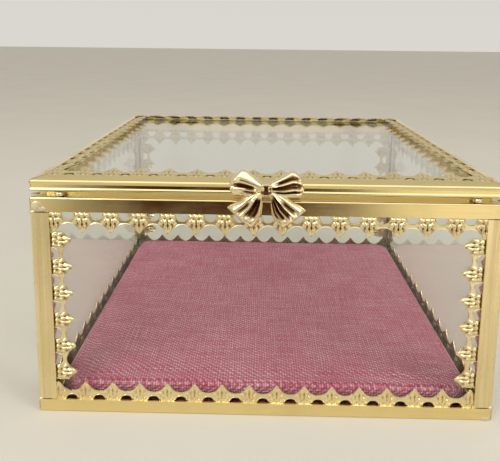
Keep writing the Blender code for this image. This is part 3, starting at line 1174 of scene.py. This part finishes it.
@dataclass
class BowPull:
    """The cast bow on the lid's front edge."""

    wardrobe: Wardrobe
    centre: tuple = (-0.45, 77.9)

    left_loop = Ribbon(
        ((-0.6, 1.7), (-2.0, 2.75), (-3.7, 4.1), (-6.1, 5.6), (-7.6, 5.9), (-8.9, 5.0)),
        ((-0.6, -1.6), (-3.0, -2.3), (-5.5, -2.5), (-8.0, -2.5), (-10.2, -2.3), (-10.9, -1.5)),
        (Fold(0.22, 0.20, 0.55, 0.0, 0.9), Fold(0.55, 0.075, -1.25, 0.35, 0.86),
         Fold(0.68, 0.05, 0.45, 0.3, 0.9), Fold(0.80, 0.07, -1.0, 0.28, 0.62),
         Fold(0.92, 0.06, 0.3, 0.2, 0.9)), rim=1.1, sag=1.5)
    right_loop = Ribbon(
        ((0.6, 1.7), (2.1, 2.4), (3.9, 3.5), (7.6, 5.7), (8.9, 5.6), (10.2, 4.5)),
        ((0.6, -1.6), (3.0, -2.2), (5.6, -2.8), (8.3, -3.0), (10.8, -2.9), (11.5, -1.9)),
        (Fold(0.10, 0.07, 0.4, 0.1, 0.95), Fold(0.25, 0.06, -1.25, 0.3, 0.85),
         Fold(0.36, 0.05, 0.5, 0.2, 0.95), Fold(0.52, 0.09, -1.2, 0.1, 0.9),
         Fold(0.66, 0.05, 0.45, 0.3, 0.9), Fold(0.76, 0.05, -1.1, 0.2, 0.88),
         Fold(0.90, 0.07, 0.35, 0.2, 0.9)), rim=1.1, sag=0.9)
    left_tail = Ribbon(
        ((-1.9, -0.6), (-4.6, -1.3), (-6.6, -2.4), (-8.4, -4.0), (-10.6, -5.2), (-12.1, -6.3)),
        ((-0.7, -1.6), (-1.1, -3.2), (-1.05, -5.6), (-1.3, -8.4), (-2.5, -11.0), (-4.3, -13.3)),
        (Fold(0.14, 0.10, 0.5, 0.1, 0.95), Fold(0.30, 0.05, -0.9, 0.5, 0.88),
         Fold(0.42, 0.08, 0.45, 0.1, 0.95), Fold(0.56, 0.08, -1.3, 0.25, 0.80),
         Fold(0.66, 0.035, 0.5, 0.2, 0.75), Fold(0.74, 0.06, -1.25, 0.22, 0.75),
         Fold(0.90, 0.09, 0.6, 0.0, 0.95)), rim=0.45, sag=0.25)
    right_tail = Ribbon(
        ((1.9, -0.6), (4.6, -1.6), (6.7, -2.7), (9.0, -4.4), (11.0, -5.7), (12.6, -6.9)),
        ((0.7, -1.6), (1.3, -3.2), (1.5, -5.6), (1.9, -8.4), (3.4, -11.0), (5.5, -13.0)),
        (Fold(0.12, 0.09, 0.5, 0.1, 0.95), Fold(0.28, 0.06, -1.0, 0.45, 0.85),
         Fold(0.40, 0.06, 0.5, 0.2, 0.95), Fold(0.50, 0.05, -1.2, 0.15, 0.85),
         Fold(0.60, 0.05, 0.55, 0.1, 0.9), Fold(0.70, 0.05, -1.2, 0.2, 0.8),
         Fold(0.79, 0.04, 0.5, 0.1, 0.8), Fold(0.86, 0.035, -1.0, 0.2, 0.7),
         Fold(0.95, 0.05, 0.6, 0.0, 0.95)), rim=0.45, sag=0.25)

    def build(self) -> list[Mesh]:
        """Makes the bow as one casting.

        Returns:
            The bow, alone in a list.
        """
        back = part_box("bow_pull")[1].y / MM
        parts = (("loop_left", self.left_loop), ("loop_right", self.right_loop),
                 ("tail_left", self.left_tail), ("tail_right", self.right_tail),
                 ("knot", Knot()))
        lobes = [part.build(name, self.centre, back) for name, part in parts]
        # painted shade in the ribbon creases and the knot's recess
        hollows = [part.hollows() for _, part in parts]
        bow = join("bow_pull_cast", lobes)
        mark_hollows(bow, np.concatenate(hollows))
        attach(bow, Body.LID.value)
        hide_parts("bow_pull")
        self.wardrobe.dress(bow, BRASS_CAST, Slot.CAST)
        return [bow]


# ---------------------------------------------------------------- pad

@dataclass
class Pad:
    """Linen cover pulled over foam and board."""

    wardrobe: Wardrobe
    voxel: float = 0.0022
    pressure: float = 4.0
    frames: int = 20
    cap: float = 0.0006
    corner: float = 6.0
    corner_steps: int = 8
    edge: float = 1.9
    edge_steps: int = 6
    held: float = 1.2
    skin: float = 0.02
    nudge: Point = (0.0040, 0.0023, 0.0031)
    quality: int = 5
    mass: float = 0.2
    stretch: float = 12.0
    bend: float = 0.6

    def build(self) -> list[Mesh]:
        """Makes the stuffed cover.

        Returns:
            The cover, alone in a list.
        """
        low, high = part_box("pad_cover")
        cover = self._block(low, high)
        form = self._block(low, high)
        self._inflate(cover, form, low)
        bpy.data.objects.remove(form)
        cover.data.shade_smooth()
        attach(cover, Body.BASE.value)
        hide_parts("pad_cover")
        self.wardrobe.dress(cover, LINEN, Slot.LINEN)
        return [cover]

    def _block(self, low: Vector, high: Vector) -> Mesh:
        """Makes a rounded slab of the pad's size.

        Args:
            low: lowest corner of the pad.
            high: highest corner of the pad.

        Returns:
            The object.
        """
        bm = bmesh.new()
        bmesh.ops.create_cube(bm, size=1.0)
        size, middle = high - low, (high + low) / 2
        for v in bm.verts:
            v.co = Vector(c * s for c, s in zip(v.co, size)) + middle
        upright = [e for e in bm.edges if abs(e.verts[0].co.z - e.verts[1].co.z) > size.z / 2]
        bmesh.ops.bevel(bm, geom=upright, offset=self.corner * MM, segments=self.corner_steps,
                        affect="EDGES", profile=0.5)
        rim = [e for e in bm.edges if all(abs(v.co.z - high.z) < 1e-6 for v in e.verts)
               and len(e.link_faces) == 2]
        bmesh.ops.bevel(bm, geom=rim, offset=self.edge * MM, segments=self.edge_steps,
                        affect="EDGES", profile=0.5)
        mesh = bpy.data.meshes.new("pad_linen")
        bm.to_mesh(mesh)
        bm.free()
        obj = bpy.data.objects.new("pad_linen", mesh)
        bpy.context.scene.collection.objects.link(obj)
        return obj

    def _inflate(self, cover: Mesh, form: Mesh, low: Vector) -> None:
        """Puffs the cover with cloth pressure and keeps the shift small.

        The nudge keeps the cover's points off places that are equally near two faces of
        the form, where the wrap settles them differently from run to run.

        Args:
            cover: the slab to puff.
            form: a copy of the slab that the cover must not sink into.
            low: lowest corner of the pad.
        """
        bpy.context.view_layer.objects.active = cover
        remesh = cover.modifiers.new("even", "REMESH")
        remesh.mode, remesh.voxel_size = "VOXEL", self.voxel
        self._apply(cover)
        cover.data.transform(Matrix.Translation(Vector(self.nudge) * MM))
        self._wrap(cover, form, "ON_SURFACE", 0.0)
        self._apply(cover)
        rest = np.array([v.co for v in cover.data.vertices])
        pins = cover.vertex_groups.new(name="held")
        bottom = np.nonzero(rest[:, 2] < low.z + self.held * MM)[0]
        pins.add([int(i) for i in bottom], 1.0, "REPLACE")
        cloth = cover.modifiers.new("puff", "CLOTH")
        settings = cloth.settings
        settings.vertex_group_mass = pins.name
        settings.quality = self.quality
        settings.mass = self.mass
        settings.tension_stiffness = settings.compression_stiffness = self.stretch
        settings.bending_stiffness = self.bend
        settings.use_pressure = True
        settings.uniform_pressure_force = self.pressure
        settings.effector_weights.gravity = 0.0
        cloth.collision_settings.use_collision = False
        scene = bpy.context.scene
        for frame in range(1, self.frames + 1):
            scene.frame_set(frame)
        shape = cover.evaluated_get(bpy.context.evaluated_depsgraph_get()).to_mesh()
        puffed = np.array([v.co for v in shape.vertices])
        cover.modifiers.clear()
        scene.frame_set(1)
        shift = puffed - rest
        size = np.linalg.norm(shift, axis=1, keepdims=True)
        shift *= np.minimum(1.0, self.cap / np.maximum(size, 1e-9))
        placed = rest + shift
        placed[:, 2] = np.clip(placed[:, 2], low.z, None)
        cover.data.vertices.foreach_set("co", placed.astype(np.float32).ravel())
        cover.vertex_groups.clear()
        finer = cover.modifiers.new("finer", "SUBSURF")
        finer.levels = finer.render_levels = 1
        self._wrap(cover, form, "OUTSIDE", self.skin * MM)
        self._apply(cover)
        log.info("pad: %d faces, largest puff %.2f mm", len(cover.data.polygons),
                 float(size.max()) / MM)

    def _wrap(self, obj: Mesh, form: Mesh, mode: str, offset: float) -> None:
        """Holds an object on or outside a form.

        Args:
            obj: the object.
            form: the shape that holds it.
            mode: how the shrinkwrap treats points inside the form.
            offset: distance kept from the form.
        """
        wrap = obj.modifiers.new("wrap", "SHRINKWRAP")
        wrap.target, wrap.wrap_method = form, "NEAREST_SURFACEPOINT"
        wrap.wrap_mode, wrap.offset = mode, offset

    def _apply(self, obj: Mesh) -> None:
        """Bakes modifiers into the mesh.

        Args:
            obj: the object that has them.
        """
        made = bpy.data.meshes.new_from_object(
            obj.evaluated_get(bpy.context.evaluated_depsgraph_get()))
        obj.modifiers.clear()
        obj.data = made


# ---------------------------------------------------------------- frame and glass

@dataclass
class FrameWork:
    """Finishes of the CAD rails, posts, panes, hinges and the stuff inside the pad."""

    wardrobe: Wardrobe
    nodes: dict[str, Mesh]

    def build(self) -> list[Mesh]:
        """Dresses every CAD node.

        Returns:
            The nodes.
        """
        finishes = (("glass", PANE, Slot.GLASS), ("hinge", BRASS_FITTING, Slot.CAST),
                    ("lid_rest", SOLDER, Slot.CAST), ("pad_board", CARD, Slot.CARD),
                    ("pad_foam", FOAM, Slot.FOAM), ("pad_cover", LINEN, Slot.LINEN),
                    ("lace", BRASS_LACE, Slot.LACE), ("bow", BRASS_CAST, Slot.CAST),
                    ("post", BRASS_POST, Slot.SHEET))
        for name, obj in sorted(self.nodes.items()):
            finish, slot = next(((f, s) for key, f, s in finishes if key in name),
                                (BRASS_SHEET, Slot.SHEET))
            self.wardrobe.dress(obj, finish, slot)
        return [obj for _, obj in sorted(self.nodes.items())]


@dataclass
class SolderJoints:
    """Small lumps of solder where the sheet parts meet."""

    wardrobe: Wardrobe
    seed: int = 7
    end_lump: Point = (0.9, 0.9, 0.8)
    flat_lump: Point = (1.5, 1.5, 0.22)
    end_inset: float = 0.5
    end_proud: float = 0.1
    flat_inset: float = 1.4
    left_patches: tuple = ((2.2, 71.0, (1.9, 0.20, 1.6)), (3.6, 70.0, (1.3, 0.16, 0.9)))
    right_patch: tuple = (2.0, 0.7, (1.5, 0.14, 0.5))
    waves: int = 6
    wave_count: float = 2.0
    wobble: float = 0.18

    def build(self) -> list[Mesh]:
        """Makes the lumps at the corners and the rough patches on the front.

        Returns:
            The solder, alone in a list.
        """
        rng = np.random.default_rng(self.seed)
        lumps = self._corner_lumps() + self._front_patches()
        parts = [self._lump(f"lump_{index}", centre, size, rng)
                 for index, (centre, size) in enumerate(lumps)]
        solder = join("solder_joints", parts)
        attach(solder, Body.BASE.value)
        self.wardrobe.dress(solder, SOLDER, Slot.SHEET)
        return [solder]

    def _corner_lumps(self) -> list[tuple]:
        """Places the lumps at both ends of each post and on the top rail's corners.

        Returns:
            The centre in metres and the half sizes in mm of each lump.
        """
        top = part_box("top_rail_front")[1].z
        low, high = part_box("corner_post_2")
        end = high.x - self.end_inset * MM
        flat = high.x - self.flat_inset * MM
        lumps = []
        for sx in (-1, 1):
            for sy in (-1, 1):
                for z in (low.z - self.end_proud * MM, high.z + self.end_proud * MM):
                    lumps.append(((sx * end, sy * end, z), self.end_lump))
                lumps.append(((sx * flat, sy * flat, top), self.flat_lump))
        return lumps

    def _front_patches(self) -> list[tuple]:
        """Places the rough patches on the front posts.

        Returns:
            The centre in metres and the half sizes in mm of each patch.
        """
        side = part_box("corner_post_2")[1].x
        patches = [((inset * MM - side, -side, z * MM), size)
                   for inset, z, size in self.left_patches]
        inset, z, size = self.right_patch
        return patches + [((side - inset * MM, -side, z * MM), size)]

    def _lump(self, name: str, centre: Point, size: Point, rng: np.random.Generator) -> Mesh:
        """Makes one uneven lump.

        Args:
            name: object name.
            centre: its centre, in metres.
            size: its half sizes, in mm.
            rng: source of its unevenness.

        Returns:
            The object.
        """
        bm = bmesh.new()
        bmesh.ops.create_icosphere(bm, subdivisions=3, radius=1.0)
        shake = rng.normal(size=(self.waves, 3)) * self.wave_count
        for v in bm.verts:
            wave = sum(math.sin(v.co.dot(Vector(k)) + i) for i, k in enumerate(shake))
            v.co = v.co * (1 + self.wobble * wave / self.waves)
            v.co = Vector(c * s * MM for c, s in zip(v.co, size)) + Vector(centre)
        mesh = bpy.data.meshes.new(name)
        bm.to_mesh(mesh)
        bm.free()
        obj = bpy.data.objects.new(name, mesh)
        bpy.context.scene.collection.objects.link(obj)
        return obj


# ---------------------------------------------------------------- studio

@dataclass(frozen=True)
class SoftBox:
    """A rectangular lamp aimed at a point."""

    name: str
    place: tuple
    aim: tuple
    size: tuple
    power: float
    color: tuple = (1.0, 1.0, 1.0)

    def build(self) -> bpy.types.Object:
        """Makes the lamp.

        Returns:
            The lamp.
        """
        data = bpy.data.lights.new(self.name, "AREA")
        data.shape, (data.size, data.size_y) = "RECTANGLE", self.size
        data.energy, data.color = self.power, self.color
        lamp = bpy.data.objects.new(self.name, data)
        lamp.location = self.place
        ray = Vector(self.aim) - Vector(self.place)
        lamp.rotation_euler = ray.to_track_quat("-Z", "Y").to_euler()
        bpy.context.scene.collection.objects.link(lamp)
        return lamp


@dataclass(frozen=True)
class ReflectorCard:
    """A soft-edged dark or bright card on the table that only shiny surfaces see."""

    name: str
    centre: tuple
    size: tuple
    color: tuple
    core: float
    fringe: float = 0.98

    def build(self) -> Mesh:
        """Makes the card.

        Returns:
            The card.
        """
        half = 0.5
        card = square(self.name, half)
        card.location, card.scale = self.centre, (*self.size, 1)
        material, g, out = blank_material(self.name)
        place = g.add("TexCoord").outputs["Object"]
        reach = g.add("VectorMath", {0: place}, operation="LENGTH").outputs["Value"]
        glow = g.add("Emission", {0: (*self.color, 1), 1: 1.0})
        clear = g.add("BsdfTransparent")
        fade = g.span(reach, half * self.core, half * self.fringe)
        fade.node.interpolation_type = "SMOOTHSTEP"
        mixed = g.add("MixShader", {0: fade, 1: glow.outputs[0], 2: clear.outputs[0]})
        g.feed(out.inputs[0], mixed.outputs[0])
        card.data.materials.append(material)
        card.visible_camera = card.visible_diffuse = card.visible_shadow = False
        card.visible_transmission = card.visible_volume_scatter = False
        return card


@dataclass
class Studio:
    """Camera, table, lamps and sky."""

    focal_px: float = 582.2168
    image_width: float = 500.0
    image_height: float = 461.0
    principal_row: float = 130.9028
    eye: tuple = (-2.4318, -251.3384, 124.2098)
    yaw: float = -0.0183
    pitch: float = 0.1592
    roll: float = 0.0110
    sky: tuple = (0.61, 0.59, 0.54)
    haze: tuple = (0.70, 0.68, 0.635)
    table: tuple = (0.74, 0.70, 0.62)
    table_half: float = 6.0
    patch_shade: float = 0.965

    def build(self) -> None:
        """Makes the whole studio."""
        self._camera()
        self._table()
        self._sky()
        for lamp in self._lamps():
            lamp.build()
        for card in self._cards():
            card.build()

    def _camera(self) -> None:
        """Places the camera, with its picture shifted to keep the posts upright."""
        forward = Vector((math.sin(self.yaw) * math.cos(self.pitch),
                          math.cos(self.yaw) * math.cos(self.pitch), -math.sin(self.pitch)))
        right = Vector((math.cos(self.yaw), -math.sin(self.yaw), 0))
        up = right.cross(forward)
        c, s = math.cos(self.roll), math.sin(self.roll)
        x_axis, y_axis = c * right + s * up, -s * right + c * up
        data = bpy.data.cameras.new("camera")
        data.sensor_width = 36.0
        data.lens = data.sensor_width * self.focal_px / self.image_width
        data.shift_y = -(self.image_height / 2 - self.principal_row) / self.image_width
        data.clip_start, data.clip_end = 0.005, 50.0
        camera = bpy.data.objects.new("camera", data)
        turn = Matrix((x_axis, y_axis, -forward)).transposed().to_4x4()
        camera.matrix_world = Matrix.Translation(Vector(self.eye) * MM) @ turn
        bpy.context.scene.collection.objects.link(camera)
        bpy.context.scene.camera = camera

    def _table(self) -> None:
        """Makes the pale painted table top."""
        floor = square("table_top", self.table_half)
        material, g, out = blank_material("table_paint")
        place = g.add("TexCoord").outputs["Object"]
        tone = g.noise(place, 9.0, 3.0, 0.5)
        color = g.mix(g.span(tone, 0.35, 0.65), (*self.table, 1),
                      (*(self.patch_shade * c for c in self.table), 1))
        surface = g.add("BsdfPrincipled", {"Base Color": color, "Roughness": 0.6,
                                           "Specular IOR Level": 0.25})
        g.feed(out.inputs[0], surface.outputs[0])
        floor.data.materials.append(material)

    def _sky(self) -> None:
        """Makes the pale room, lighter near the horizon."""
        world = bpy.data.worlds.new("pale_room")
        world.use_nodes = True
        world.node_tree.nodes.clear()
        g = Graph(world.node_tree)
        rise = g.add("SeparateXYZ", {0: g.add("TexCoord").outputs["Generated"]}).outputs["Z"]
        tone = g.mix(g.span(rise, 0.03, 0.30), (*self.haze, 1), (*self.sky, 1))
        sky = g.add("Background", {0: tone, 1: 1.0})
        g.add("OutputWorld", {0: sky.outputs[0]})
        bpy.context.scene.world = world

    def _lamps(self) -> tuple[SoftBox, ...]:
        """Sets out the soft lamps, all aimed at the middle of the box.

        Returns:
            The lamps.
        """
        aim = (0.0, 0.0, 0.05)
        return (SoftBox("window_right", (0.80, -0.60, 0.80), aim, (0.40, 0.50), 2.8,
                        (1.0, 0.98, 0.94)),
                SoftBox("ceiling", (0.05, -0.55, 0.78), aim, (1.3, 0.9), 3.0),
                SoftBox("key_left", (-0.50, -0.75, 0.50), aim, (0.36, 0.36), 1.9,
                        (0.96, 0.98, 1.0)))

    def _cards(self) -> tuple[ReflectorCard, ...]:
        """Sets out a brown card for the front brass and a bright one at its right.

        Returns:
            The cards.
        """
        return (ReflectorCard("shade_hand", (-0.028, -0.45, 0.001), (0.39, 0.70),
                              (0.05, 0.014, 0.005), 0.46),
                ReflectorCard("glow_right", (0.21, -0.30, 0.0015), (0.36, 0.60),
                              (1.05, 0.97, 0.84), 0.3))


def plain_colour_response() -> None:
    """Sets the plain colour response."""
    bpy.context.scene.view_settings.view_transform = "Standard"


def main() -> None:
    """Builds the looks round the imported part."""
    logging.basicConfig(level=logging.INFO, format="%(name)s: %(message)s")
    for obj in list(bpy.data.objects):
        bpy.data.objects.remove(obj)
    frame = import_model()
    wardrobe = Wardrobe()
    for maker in (FrameWork(wardrobe, frame["nodes"]), LaceTrim(wardrobe), BowPull(wardrobe),
                  SolderJoints(wardrobe), Pad(wardrobe)):
        for piece in maker.build():
            log.info("%s: %s", type(maker).__name__, piece.name)
    Studio().build()
    plain_colour_response()


if __name__ == "__main__":
    main()
